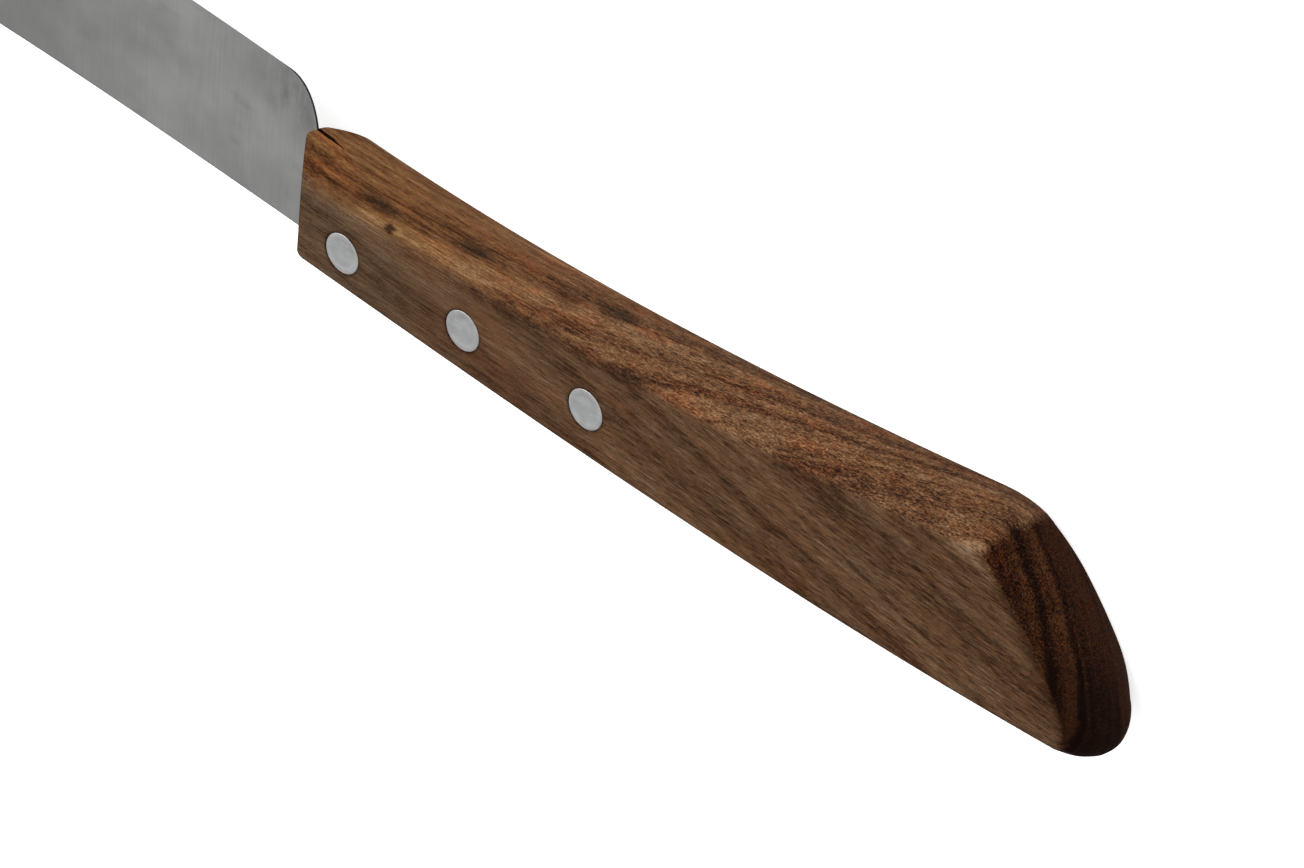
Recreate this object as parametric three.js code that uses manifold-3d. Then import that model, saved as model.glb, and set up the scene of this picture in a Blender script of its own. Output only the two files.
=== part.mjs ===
// Table knife: a thin-ground steel blade whose half tang sits in a saw slot in a one-piece
// wooden handle and is held there by three solid rivets.
//
// The knife lies on the flat of its handle. While it is modelled, x runs from the tip to the
// butt with 0 at the shoulders, where the handle's flat sides begin. y runs from the spine to
// the cutting edge with 0 on the line of rivets. z is up with 0 in the plane of the blade.
// The finished group is then moved, so that its origin is the bottom centre of its box.
import * as THREE from 'three';
import { mergeVertices } from 'three/addons/utils/BufferGeometryUtils.js';
import Module from 'manifold-3d';

// Handle, in millimetres. Its side edges are cubic curves from the shoulders to the butt, and
// each edge has four heights, measured from the line of rivets.
const HANDLE_LENGTH = 111.6;
const HANDLE_THICKNESS = 11.4;
const LOWER_AT_SHOULDER = 3.8;
const LOWER_AT_GRIP = 5.7;
const LOWER_AT_SWELL = 7.3;
const LOWER_AT_BUTT = 4.35;
const UPPER_AT_SHOULDER = 5.6;
const UPPER_AT_GRIP = 4.15;
const UPPER_AT_SWELL = 9.3;
const UPPER_AT_BUTT = 15.75;

// The belly and the spine side of the handle are crowned between those edges.
const BELLY_CROWN_AT_SHOULDER = 2;
const BELLY_CROWN_AT_BUTT = 1.1;
const SPINE_CROWN = 2;

// The nose is bevelled towards the blade, and the butt is cut back towards the belly.
const NOSE_LENGTH = 3.55;
const NOSE_WIDTH = 3.2;
const BUTT_SETBACK = 17.4;
const BUTT_BULGE = 1.75;
const BUTT_DOME = 1.8;
const BUTT_SPINE_ROUND = 3.6;
const BUTT_BELLY_ROUND = 5;
const BUTT_SIDE_ROUND = 3.2;

// Blade
const BLADE_LENGTH = 117;
const BLADE_HEIGHT = 19.3;
const BLADE_THICKNESS = 0.7;
const EDGE_THICKNESS = 0.2;
const HEEL_LEAN = 0.75;
const HEEL_SWEEP = 5;
const SPINE_RISE_NEAR = 1.9;
const SPINE_RISE_FAR = 3.4;
const SPINE_DROP_AT_TIP = 2.2;
const EDGE_BULGE = 2.1;
const TIP_BELLY_LENGTH = 27;
const TIP_NOSE_LENGTH = 8.5;

// Rivets
const RIVET_COUNT = 3;
const RIVET_DIAMETER = 4.8;
const RIVET_PITCH = 17.75;
const RIVET_FROM_SHOULDER = 6.5;
const RIVET_EDGE_BREAK = 0.2;
const RIVET_RECESS = 0.05;

// Tang and its slot
const TANG_RISE = 4.2;
const TANG_PAST_LAST_RIVET = 8;
const TANG_CORNER = 3;
const TANG_RECESS = 0.15;
const THROAT_RADIUS = 3.2;
const SLOT_PAST_HEEL = 3.6;
const SLOT_END_CLEARANCE = 0.4;

// Fits
const SLOT_SIDE_CLEARANCE = 0.05;
const HEEL_CLEARANCE = 0.1;
const RIVET_CLEARANCE = 0.1;

// Faceting
const LENGTH_STEPS = 44;
const CROWN_STEPS = 12;
const ROUND_SEGMENTS = 32;
const CURVE_SEGMENTS = 14;

// A cutter reaches this far past what it cuts.
const OVERRUN = 30;

const HALF_THICKNESS = HANDLE_THICKNESS / 2;
const HALF_NOSE = NOSE_WIDTH / 2;
const RIVET_RADIUS = RIVET_DIAMETER / 2;
const HEEL_X = -NOSE_LENGTH + HEEL_CLEARANCE;
const TANG_END_X = RIVET_FROM_SHOULDER + (RIVET_COUNT - 1) * RIVET_PITCH + TANG_PAST_LAST_RIVET;
const TIP_X = -NOSE_LENGTH - BLADE_LENGTH;

const wasm = await Module();
wasm.setup();

/** Turns a closed geometry into a solid that can be joined and cut. */
function solidOf(geometry) {
  const bare = geometry.clone();
  bare.deleteAttribute('normal');
  bare.deleteAttribute('uv');
  const merged = mergeVertices(bare, 1e-5);
  const mesh = new wasm.Mesh({
    numProp: 3,
    vertProperties: new Float32Array(merged.getAttribute('position').array),
    triVerts: new Uint32Array(merged.getIndex().array),
  });
  return new wasm.Manifold(mesh);
}

/** Turns a solid back into a geometry. */
function geometryOf(solid) {
  const mesh = solid.getMesh();
  const geometry = new THREE.BufferGeometry();
  geometry.setAttribute('position', new THREE.BufferAttribute(mesh.vertProperties, 3));
  geometry.setIndex(new THREE.BufferAttribute(mesh.triVerts, 1));
  geometry.computeVertexNormals();
  return geometry;
}

/** Extrudes an outline in x and y to a plate of the given thickness, centred on z = 0. */
function plate(outline, thickness) {
  const options = { depth: thickness, bevelEnabled: false, curveSegments: CURVE_SEGMENTS };
  return new THREE.ExtrudeGeometry(outline, options).translate(0, 0, -thickness / 2);
}

/** Skins closed convex rings that follow each other, each anticlockwise seen from past the last. */
function loft(rings) {
  const count = rings[0].length;
  const index = [];
  for (let ring = 0; ring < rings.length - 1; ring += 1) {
    for (let i = 0; i < count; i += 1) {
      const next = (i + 1) % count;
      const a = ring * count + i;
      const b = ring * count + next;
      index.push(a, b, b + count, a, b + count, a + count);
    }
  }
  const last = (rings.length - 1) * count;
  for (let i = 1; i < count - 1; i += 1) {
    index.push(0, i + 1, i, last, last + i, last + i + 1);
  }
  const geometry = new THREE.BufferGeometry();
  geometry.setFromPoints(rings.flat());
  geometry.setIndex(index);
  return geometry;
}

/** A cubic curve whose four points stand a third of its length apart, as a height for any x. */
function heightCurve(length, heights) {
  const points = heights.map((height, i) => new THREE.Vector2((i / 3) * length, height));
  const curve = new THREE.CubicBezierCurve(...points);
  return (x) => curve.getPoint(x / length).y;
}

// Outline of the handle

const lowerEdge = heightCurve(
  HANDLE_LENGTH,
  [-LOWER_AT_SHOULDER, -LOWER_AT_GRIP, -LOWER_AT_SWELL, -LOWER_AT_BUTT],
);
const upperEdge = heightCurve(
  HANDLE_LENGTH,
  [UPPER_AT_SHOULDER, UPPER_AT_GRIP, UPPER_AT_SWELL, UPPER_AT_BUTT],
);
const bellyCrown = (x) => THREE.MathUtils.lerp(
  BELLY_CROWN_AT_SHOULDER,
  BELLY_CROWN_AT_BUTT,
  x / HANDLE_LENGTH,
);
const spineLine = (x) => lowerEdge(x) - SPINE_CROWN;
const bellyLine = (x) => upperEdge(x) + bellyCrown(x);

/** The arc of a crown across the handle, from one side to the other, as pairs of rise and z. */
function crownArc(crown) {
  const radius = (HALF_THICKNESS ** 2 + crown ** 2) / (2 * crown);
  const halfAngle = Math.asin(HALF_THICKNESS / radius);
  return Array.from({ length: CROWN_STEPS + 1 }, (_, i) => {
    const angle = THREE.MathUtils.lerp(-halfAngle, halfAngle, i / CROWN_STEPS);
    return { rise: radius * Math.cos(angle) - radius + crown, z: radius * Math.sin(angle) };
  });
}

/** One cross-section of the handle: flat sides, a crowned belly and a crowned spine side. */
function handleSection(x) {
  const belly = crownArc(bellyCrown(x)).map(
    ({ rise, z }) => new THREE.Vector3(x, upperEdge(x) + rise, z),
  );
  const spine = crownArc(SPINE_CROWN).map(
    ({ rise, z }) => new THREE.Vector3(x, lowerEdge(x) - rise, -z),
  );
  return [...belly, ...spine];
}

/** The blank for the handle, with square ends. */
function handleBlank() {
  const rings = Array.from({ length: LENGTH_STEPS + 1 }, (_, i) => {
    return handleSection(THREE.MathUtils.lerp(-NOSE_LENGTH, HANDLE_LENGTH, i / LENGTH_STEPS));
  });
  return solidOf(loft(rings));
}

/** Everything inside the plan outline: the bevelled nose and the rounded sides of the butt. */
function planOutline() {
  const bevelSlope = (HALF_THICKNESS - HALF_NOSE) / NOSE_LENGTH;
  const wide = HALF_THICKNESS + bevelSlope * NOSE_LENGTH;
  const round = Math.min(BUTT_SIDE_ROUND, HALF_THICKNESS - HALF_NOSE / 4);
  const roundStart = HANDLE_LENGTH - round;
  const flat = HALF_THICKNESS - round;
  const outline = new THREE.Shape();
  outline.moveTo(-NOSE_LENGTH, -HALF_NOSE);
  outline.lineTo(NOSE_LENGTH, -wide);
  outline.lineTo(roundStart, -wide);
  outline.lineTo(roundStart, -HALF_THICKNESS);
  outline.absarc(roundStart, -flat, round, -Math.PI / 2, 0, false);
  outline.absarc(roundStart, flat, round, 0, Math.PI / 2, false);
  outline.lineTo(roundStart, wide);
  outline.lineTo(NOSE_LENGTH, wide);
  outline.lineTo(-NOSE_LENGTH, HALF_NOSE);
  const depth = 2 * (BLADE_HEIGHT + OVERRUN);
  return solidOf(plate(outline, depth).rotateX(Math.PI / 2));
}

/**
 * Everything ahead of the butt. Its side profile is a bulging slant with rounded corners, and
 * each level of it is an arc across the handle, which falls back by the dome at both sides.
 */
function buttCutter() {
  const low = new THREE.Vector2(HANDLE_LENGTH, spineLine(HANDLE_LENGTH));
  const highX = HANDLE_LENGTH - BUTT_SETBACK;
  const high = new THREE.Vector2(highX, bellyLine(highX));
  const slant = high.clone().sub(low).normalize();
  const outward = new THREE.Vector2(slant.y, -slant.x);
  const lowStart = low.x - BUTT_SPINE_ROUND;
  const lowEnd = low.clone().addScaledVector(slant, BUTT_SPINE_ROUND);
  const highStart = high.x - BUTT_BELLY_ROUND;
  const highEnd = high.clone().addScaledVector(slant, -BUTT_BELLY_ROUND);
  const bulge = low.clone().lerp(high, 0.5).addScaledVector(outward, 2 * BUTT_BULGE);

  const profile = new THREE.Path();
  profile.moveTo(lowStart, spineLine(lowStart));
  profile.quadraticCurveTo(low.x, low.y, lowEnd.x, lowEnd.y);
  profile.quadraticCurveTo(bulge.x, bulge.y, highEnd.x, highEnd.y);
  profile.quadraticCurveTo(high.x, high.y, highStart, high.y);
  const levels = [
    new THREE.Vector2(lowStart, low.y - OVERRUN),
    ...profile.getPoints(CURVE_SEGMENTS),
    new THREE.Vector2(highStart, high.y + OVERRUN),
  ];

  const side = HALF_THICKNESS + BUTT_DOME;
  const rings = levels.map(({ x, y }) => {
    const arc = Array.from({ length: CROWN_STEPS + 1 }, (_, i) => {
      const z = THREE.MathUtils.lerp(side, -side, i / CROWN_STEPS);
      return new THREE.Vector3(x - BUTT_DOME * (z / HALF_THICKNESS) ** 2, y, z);
    });
    const back = [-side, side].map((z) => new THREE.Vector3(-OVERRUN, y, z));
    return [...arc, ...back];
  });
  return solidOf(loft(rings));
}

// Slot, tang and blade

const throatTop = TANG_RISE + THROAT_RADIUS;
const spineY = spineLine(0);
const heelY = spineY + BLADE_HEIGHT;
const edgeTop = heelY + EDGE_BULGE;

/** The saw slot: open along the spine and at the nose, and breaking out of the belly there. */
function slotCutter() {
  const floor = TANG_RISE + SLOT_END_CLEARANCE;
  const end = TANG_END_X + SLOT_END_CLEARANCE;
  const mouth = HEEL_X + SLOT_PAST_HEEL;
  const below = spineY - OVERRUN;
  const above = heelY + OVERRUN;
  const outline = new THREE.Shape();
  outline.moveTo(TIP_X, below);
  outline.lineTo(end, below);
  outline.lineTo(end, floor);
  outline.lineTo(mouth + THROAT_RADIUS, floor);
  outline.quadraticCurveTo(mouth, floor, mouth, floor + THROAT_RADIUS);
  outline.lineTo(mouth, above);
  outline.lineTo(TIP_X, above);
  return solidOf(plate(outline, BLADE_THICKNESS + 2 * SLOT_SIDE_CLEARANCE));
}

/** The side outline of blade and tang in one piece. */
function bladeOutline() {
  const spineEndX = TIP_X + TIP_NOSE_LENGTH;
  const spineEndY = spineY - SPINE_DROP_AT_TIP;
  const bellyX = TIP_X + TIP_BELLY_LENGTH;
  const heelRise = heelY - throatTop;
  const tangLine = (x) => spineLine(x) + TANG_RECESS;
  const outline = new THREE.Shape();
  outline.moveTo(TANG_END_X, tangLine(TANG_END_X));
  outline.lineTo(TANG_END_X, TANG_RISE - TANG_CORNER);
  outline.absarc(TANG_END_X - TANG_CORNER, TANG_RISE - TANG_CORNER, TANG_CORNER, 0, Math.PI / 2, false);
  outline.lineTo(HEEL_X + THROAT_RADIUS, TANG_RISE);
  outline.absarc(HEEL_X + THROAT_RADIUS, throatTop, THROAT_RADIUS, -Math.PI / 2, -Math.PI, true);
  outline.bezierCurveTo(
    HEEL_X - HEEL_LEAN, throatTop + (heelRise * 2) / 3,
    HEEL_X - HEEL_SWEEP / 2, heelY,
    HEEL_X - HEEL_SWEEP, heelY,
  );
  outline.bezierCurveTo(
    HEEL_X - BLADE_LENGTH / 3, heelY + EDGE_BULGE,
    bellyX + TIP_BELLY_LENGTH / 3, edgeTop,
    bellyX, heelY + EDGE_BULGE / 2,
  );
  outline.bezierCurveTo(
    bellyX - TIP_BELLY_LENGTH / 2, heelY - EDGE_BULGE / 2,
    TIP_X, heelY - BLADE_HEIGHT / 2,
    TIP_X, spineEndY + TIP_NOSE_LENGTH,
  );
  outline.quadraticCurveTo(TIP_X, spineEndY, spineEndX, spineEndY);
  outline.bezierCurveTo(
    (spineEndX * 2) / 3, spineY + SPINE_RISE_FAR,
    spineEndX / 3, spineY + SPINE_RISE_NEAR,
    0, tangLine(0),
  );
  for (let i = 1; i < CURVE_SEGMENTS; i += 1) {
    const x = (TANG_END_X * i) / CURVE_SEGMENTS;
    outline.lineTo(x, tangLine(x));
  }
  return outline;
}

/** The space that the grinding leaves: a wedge from spine to edge, and the flat stock of the tang. */
function groundStock() {
  const half = BLADE_THICKNESS / 2;
  const halfEdge = EDGE_THICKNESS / 2;
  const below = spineY - OVERRUN;
  const wedge = [[below, half], [spineY, half], [edgeTop, halfEdge]];
  const ring = (x) => [
    ...wedge.map(([y, z]) => new THREE.Vector3(x, y, -z)),
    ...wedge.toReversed().map(([y, z]) => new THREE.Vector3(x, y, z)),
  ];
  const flat = [[below, -half], [edgeTop, -half], [edgeTop, half], [below, half]];
  const flatRing = (x) => flat.map(([y, z]) => new THREE.Vector3(x, y, z));
  const ground = solidOf(loft([ring(TIP_X - OVERRUN), ring(THROAT_RADIUS)]));
  const stock = solidOf(loft([flatRing(0), flatRing(TANG_END_X + OVERRUN)]));
  return ground.add(stock);
}

// Rivets

const rivetXs = Array.from({ length: RIVET_COUNT }, (_, i) => RIVET_FROM_SHOULDER + i * RIVET_PITCH);

/** The cutter for one rivet's hole through handle and tang. */
function rivetHole(x) {
  const radius = RIVET_RADIUS + RIVET_CLEARANCE;
  const hole = new THREE.CylinderGeometry(radius, radius, HANDLE_THICKNESS + OVERRUN, ROUND_SEGMENTS);
  return solidOf(hole.rotateX(Math.PI / 2).translate(x, 0, 0));
}

/** A solid rivet with broken edges, ground flush with both sides of the handle. */
function rivetGeometry() {
  const end = HALF_THICKNESS - RIVET_RECESS;
  const profile = [
    new THREE.Vector2(0, -end),
    new THREE.Vector2(RIVET_RADIUS - RIVET_EDGE_BREAK, -end),
    new THREE.Vector2(RIVET_RADIUS, -end + RIVET_EDGE_BREAK),
    new THREE.Vector2(RIVET_RADIUS, end - RIVET_EDGE_BREAK),
    new THREE.Vector2(RIVET_RADIUS - RIVET_EDGE_BREAK, end),
    new THREE.Vector2(0, end),
  ];
  return new THREE.LatheGeometry(profile, ROUND_SEGMENTS).rotateX(Math.PI / 2);
}

// Materials

const steel = new THREE.MeshStandardMaterial({ color: 0x8b8c8c, roughness: 0.42, metalness: 1 });
const walnut = new THREE.MeshStandardMaterial({ color: 0x5f4130, roughness: 0.55, metalness: 0 });
const aluminium = new THREE.MeshStandardMaterial({ color: 0xc3c6c9, roughness: 0.4, metalness: 1 });

// Assembly

const holes = rivetXs.map(rivetHole);
const drill = (solid) => holes.reduce((drilled, hole) => drilled.subtract(hole), solid);

const handleSolid = handleBlank()
  .intersect(planOutline())
  .intersect(buttCutter())
  .subtract(slotCutter());
const bladeSolid = solidOf(plate(bladeOutline(), BLADE_THICKNESS)).intersect(groundStock());

const knife = new THREE.Group();

const handle = new THREE.Mesh(geometryOf(drill(handleSolid)), walnut);
handle.name = 'handle';
knife.add(handle);

const blade = new THREE.Mesh(geometryOf(drill(bladeSolid)), steel);
blade.name = 'blade';
knife.add(blade);

rivetXs.forEach((x, i) => {
  const rivet = new THREE.Mesh(rivetGeometry(), aluminium);
  rivet.name = `rivet_${i + 1}`;
  rivet.position.set(x, 0, 0);
  knife.add(rivet);
});

const box = new THREE.Box3().setFromObject(knife);
const centre = box.getCenter(new THREE.Vector3());
knife.position.set(-centre.x, -centre.y, -box.min.z);

export default knife;
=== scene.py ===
"""A table knife that lies on the flat of its handle, seen from its butt and belly."""

import bmesh
import bpy
import numpy as np
from mathutils import Matrix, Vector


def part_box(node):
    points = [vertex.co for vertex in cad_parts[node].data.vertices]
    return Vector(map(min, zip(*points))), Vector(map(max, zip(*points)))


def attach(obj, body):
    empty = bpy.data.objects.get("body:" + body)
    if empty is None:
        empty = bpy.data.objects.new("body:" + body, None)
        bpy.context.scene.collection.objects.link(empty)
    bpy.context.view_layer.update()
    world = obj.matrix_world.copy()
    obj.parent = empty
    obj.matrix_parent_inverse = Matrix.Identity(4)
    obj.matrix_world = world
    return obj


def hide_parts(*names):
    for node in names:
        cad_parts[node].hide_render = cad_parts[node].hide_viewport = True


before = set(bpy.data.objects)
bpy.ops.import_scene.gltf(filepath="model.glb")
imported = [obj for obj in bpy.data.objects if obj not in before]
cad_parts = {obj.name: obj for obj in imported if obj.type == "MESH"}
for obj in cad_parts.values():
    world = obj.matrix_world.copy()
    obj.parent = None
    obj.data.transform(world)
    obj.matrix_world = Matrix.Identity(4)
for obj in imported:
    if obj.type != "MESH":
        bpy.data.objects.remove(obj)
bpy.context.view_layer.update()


# Handle
# One stick of walnut, shaped, sawn with a slot for the tang, drilled for the rivets and oiled.
# Its sides are flat, its belly and spine are crowned, its nose is bevelled towards the blade
# and its butt is cut on a slant and rounded over.

MM = 0.001
FIRST_RIVET_X = 6.5
RIVET_PITCH = 17.75

HANDLE_LENGTH = 111.6
HALF_THICKNESS = 5.7
LOWER_EDGE = (-3.8, -5.7, -7.3, -4.35)
UPPER_EDGE = (5.6, 4.15, 9.3, 15.75)
BELLY_CROWN = (2.0, 1.1)
SPINE_CROWN = 2.0
RIDGE_ROUND = (1.5, 0.5)
RIDGE_CRISP_FROM = 75.0
LOWER_ROUND = 0.5

NOSE_LENGTH = 3.55
HALF_NOSE = 1.6
NOSE_ROUND = 0.18
NOSE_BLEND = 0.25
NOSE_RISE = 0.38
NOSE_RISE_ACROSS = (-2.2, 0.3)
NOSE_RISE_FROM = 3.0
NOSE_LEAN = 0.6
NOSE_CORNER = 0.8

BUTT_SETBACK = 17.1
BUTT_BULGE = 2.5
BUTT_DOME = 1.8
BUTT_DOME_POWER = 2.2
BUTT_SKEW = 0.06
BUTT_BELLY_ROUND = (0.5, 1.1, 1.2)
BUTT_FAR_REACH = 6.5
BUTT_SIDE_ROUND = 0.44
BUTT_SPINE_ROUND = 3.0
BUTT_TIP_FROM = (0.86, 0.69)
BUTT_RIDGE_TO = 0.32

SECTION_STEPS = (16, 10, 28, 8, 14)
BODY_STEPS = 130
EDGE_STEPS = 7
CAP_STEPS = 26
FITTING_ROUNDS = 16
MERGE_DISTANCE = 1e-4
SHARP_ANGLE = np.radians(38)

SLOT_HALF_WIDTH = 0.27
SLOT_FLOOR = 4.6
SLOT_END_X = 50.4
SLOT_MOUTH_X = -1.6
SLOT_POINT_X = 0.5
SLOT_POINT_SHARE = 0.05
SLOT_POINT_LAP = 0.1
HOLE_RADIUS = 2.44
HOLE_SIDES = 96
CUT_REACH = 40.0

END_FACING = (0.3, 0.6)
BELLY_FACING = (0.35, 0.8)
FAR_END_LEAN = 0.22
HOLE_MARGIN = 0.05
SAWN_SPREAD = 1.01
SAWN_PAST_END = 0.1
SAWN_FACING = 0.9

rivet_low, rivet_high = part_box("rivet_1")
shoulder = np.array((rivet_low + rivet_high) / 2) - np.array([FIRST_RIVET_X, 0, 0]) * MM


def placed(x, y, z):
    """Points of the knife's own axes, in millimetres from the shoulder, as metres in the row's frame."""
    return np.stack(np.broadcast_arrays(x, y, z), axis=-1) * MM + shoulder


def smoothstep(low, high, value):
    """A ramp from 0 at low to 1 at high that leaves and arrives level: 3 t squared less 2 t cubed."""
    t = np.clip((value - low) / (high - low), 0, 1)
    return t * t * (3 - 2 * t)


def lerp(a, b, t):
    """The point a share t of the way from a to b."""
    return a + (b - a) * t


def side_edge(x, heights):
    """Height of a side edge at x: the cubic Bernstein sum of four heights a third of the handle apart."""
    t = x / HANDLE_LENGTH
    a, b, c, d = heights
    return a * (1 - t) ** 3 + 3 * b * t * (1 - t) ** 2 + 3 * c * t**2 * (1 - t) + d * t**3


def crown_rise(z, half_width, crown):
    """Rise of an arc over its chord: the circle of that half width and crown, at z from its middle."""
    radius = (half_width**2 + crown**2) / (2 * crown)
    return np.sqrt(radius**2 - z**2) - radius + crown


def crown_slope(z, half_width, crown):
    """Slope of that arc at z: minus z over the height of the circle there."""
    radius = (half_width**2 + crown**2) / (2 * crown)
    return -z / np.sqrt(radius**2 - z**2)


def bend(a, corner, b, t):
    """A quadratic Bezier curve from a to b, drawn towards their corner."""
    return a * (1 - t) ** 2 + 2 * corner * t * (1 - t) + b * t**2


SECTION_PARTS = range(5)
BELLY, RIDGE, SIDE, LOWER, SPINE = SECTION_PARTS
section_part = np.append(np.repeat(SECTION_PARTS, SECTION_STEPS), SPINE)
section_t = np.append(np.concatenate([np.arange(n) / n for n in SECTION_STEPS]), 1.0)


def half_section(x, inset_side, inset_belly, inset_spine):
    """Half a cross-section at x, from the middle of the belly down one side to the middle of the spine:
    an arc, a bend over the ridge, a straight side, a bend at the lower edge and an arc."""
    t = section_t
    side = HALF_THICKNESS - inset_side
    crown = lerp(*BELLY_CROWN, np.clip(x / HANDLE_LENGTH, 0, 1))
    upper = side_edge(x, UPPER_EDGE) - inset_belly
    lower = side_edge(x, LOWER_EDGE) + inset_spine
    ridge = np.minimum(lerp(*RIDGE_ROUND, smoothstep(0, RIDGE_CRISP_FROM, x)), side / 2)

    belly_end = side - ridge
    belly_y = upper + crown_rise(belly_end, side, crown)
    ridge_y = belly_y + ridge * crown_slope(belly_end, side, crown)
    side_top = ridge_y - ridge
    spine_end = side - LOWER_ROUND
    spine_y = lower - crown_rise(spine_end, side, SPINE_CROWN)
    lower_y = spine_y - LOWER_ROUND * crown_slope(spine_end, side, SPINE_CROWN)
    side_bottom = lower_y + LOWER_ROUND

    belly_z = belly_end * t
    back_z = spine_end * (1 - t)
    on_part = [section_part == part for part in SECTION_PARTS]
    z = np.select(
        on_part,
        [belly_z, bend(belly_end, side, side, t), side + 0 * x, bend(side, side, spine_end, t), back_z],
    )
    y = np.select(
        on_part,
        [
            upper + crown_rise(belly_z, side, crown),
            bend(belly_y, ridge_y, side_top, t),
            lerp(side_top, side_bottom, t),
            bend(side_bottom, lower_y, spine_y, t),
            lower - crown_rise(back_z, side, SPINE_CROWN),
        ],
    )
    return y, z


def nose_face(y, z):
    """The nose in plan: flat in the middle, then bevelled back to the shoulders, blended by a hyperbola.
    Its corner with the spine is a quarter of a circle."""
    out = np.abs(z) - HALF_NOSE
    slope = NOSE_LENGTH / (HALF_THICKNESS - HALF_NOSE)
    from_middle = np.minimum(np.abs(z), HALF_THICKNESS)
    spine = side_edge(0, LOWER_EDGE) - crown_rise(from_middle, HALF_THICKNESS, SPINE_CROWN)
    below = np.clip(1 - (y - spine) / NOSE_CORNER, 0, 1)
    corner = NOSE_CORNER * (1 - np.sqrt(1 - below**2))
    return -NOSE_LENGTH + slope * (out + np.sqrt(out**2 + NOSE_BLEND**2)) / 2 + corner


def nose_rise(x, z):
    """Lift of the belly at the nose: a smooth step along x, highest at the tip, times one across from the
    far side to the near side, where it leans up further."""
    lean = smoothstep(*NOSE_RISE_ACROSS, z) * (1 + NOSE_LEAN * np.clip(z, 0, HALF_NOSE))
    return NOSE_RISE * smoothstep(NOSE_RISE_FROM, -NOSE_LENGTH, x) * lean


def butt_line(y):
    """Profile of the butt along its middle: a slanted line with a parabola's bulge."""
    low_y = side_edge(HANDLE_LENGTH, LOWER_EDGE) - SPINE_CROWN
    high_x = HANDLE_LENGTH - BUTT_SETBACK
    high_y = side_edge(high_x, UPPER_EDGE) + lerp(*BELLY_CROWN, high_x / HANDLE_LENGTH)
    t = (y - low_y) / (high_y - low_y)
    return lerp(HANDLE_LENGTH, high_x, t) + 4 * BUTT_BULGE * t * (1 - t)


def butt_face(y, z):
    """The butt: its profile, less a dome across it that is a little flatter in the middle than a parabola,
    and a slight skew towards the far side."""
    return butt_line(y) - BUTT_DOME * np.abs(z / HALF_THICKNESS) ** BUTT_DOME_POWER + BUTT_SKEW * z


def grid_faces(rows, columns, wrap=False):
    """Quads of a grid of points, row by row, with its last column joined to its first on a ring."""
    index = np.arange(rows * columns).reshape(rows, columns)
    right = np.roll(index, -1, axis=1) if wrap else index[:, 1:]
    left = index if wrap else index[:, :-1]
    quads = [left[:-1], right[:-1], right[1:], left[1:]]
    return np.stack(quads, axis=-1).reshape(-1, 4)


def mesh_of(name, grids):
    """One closed mesh from grids of points and their faces, merged where they meet, faces outwards."""
    mesh = bpy.data.meshes.new(name)
    starts = np.cumsum([0] + [len(points) for points, _ in grids])
    points = np.concatenate([points for points, _ in grids])
    faces = np.concatenate([faces + start for (_, faces), start in zip(grids, starts)])
    mesh.from_pydata(points.tolist(), [], faces.tolist())
    work = bmesh.new()
    work.from_mesh(mesh)
    bmesh.ops.remove_doubles(work, verts=work.verts, dist=MERGE_DISTANCE * MM)
    bmesh.ops.recalc_face_normals(work, faces=work.faces)
    work.to_mesh(mesh)
    work.free()
    return mesh


def piece_of(name, mesh):
    """A named object that shows a mesh at the origin."""
    piece = bpy.data.objects.new(name, mesh)
    bpy.context.scene.collection.objects.link(piece)
    return piece


def smooth(mesh):
    """Shades faces smoothly, and keeps edges crisp where two faces meet at more than the sharp angle."""
    mesh.shade_smooth()
    mesh.set_sharp_from_angle(angle=SHARP_ANGLE)


def cut(piece, *tools):
    """Takes the closed tools out of a piece, smooths it and puts the tools away."""
    for tool in tools:
        modifier = piece.modifiers.new("cut", "BOOLEAN")
        modifier.object = tool
        modifier.operation = "DIFFERENCE"
        modifier.solver = "EXACT"
    depsgraph = bpy.context.evaluated_depsgraph_get()
    mesh = bpy.data.meshes.new_from_object(piece.evaluated_get(depsgraph))
    piece.modifiers.clear()
    piece.data = mesh
    smooth(mesh)
    for tool in tools:
        bpy.data.objects.remove(tool)


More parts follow.
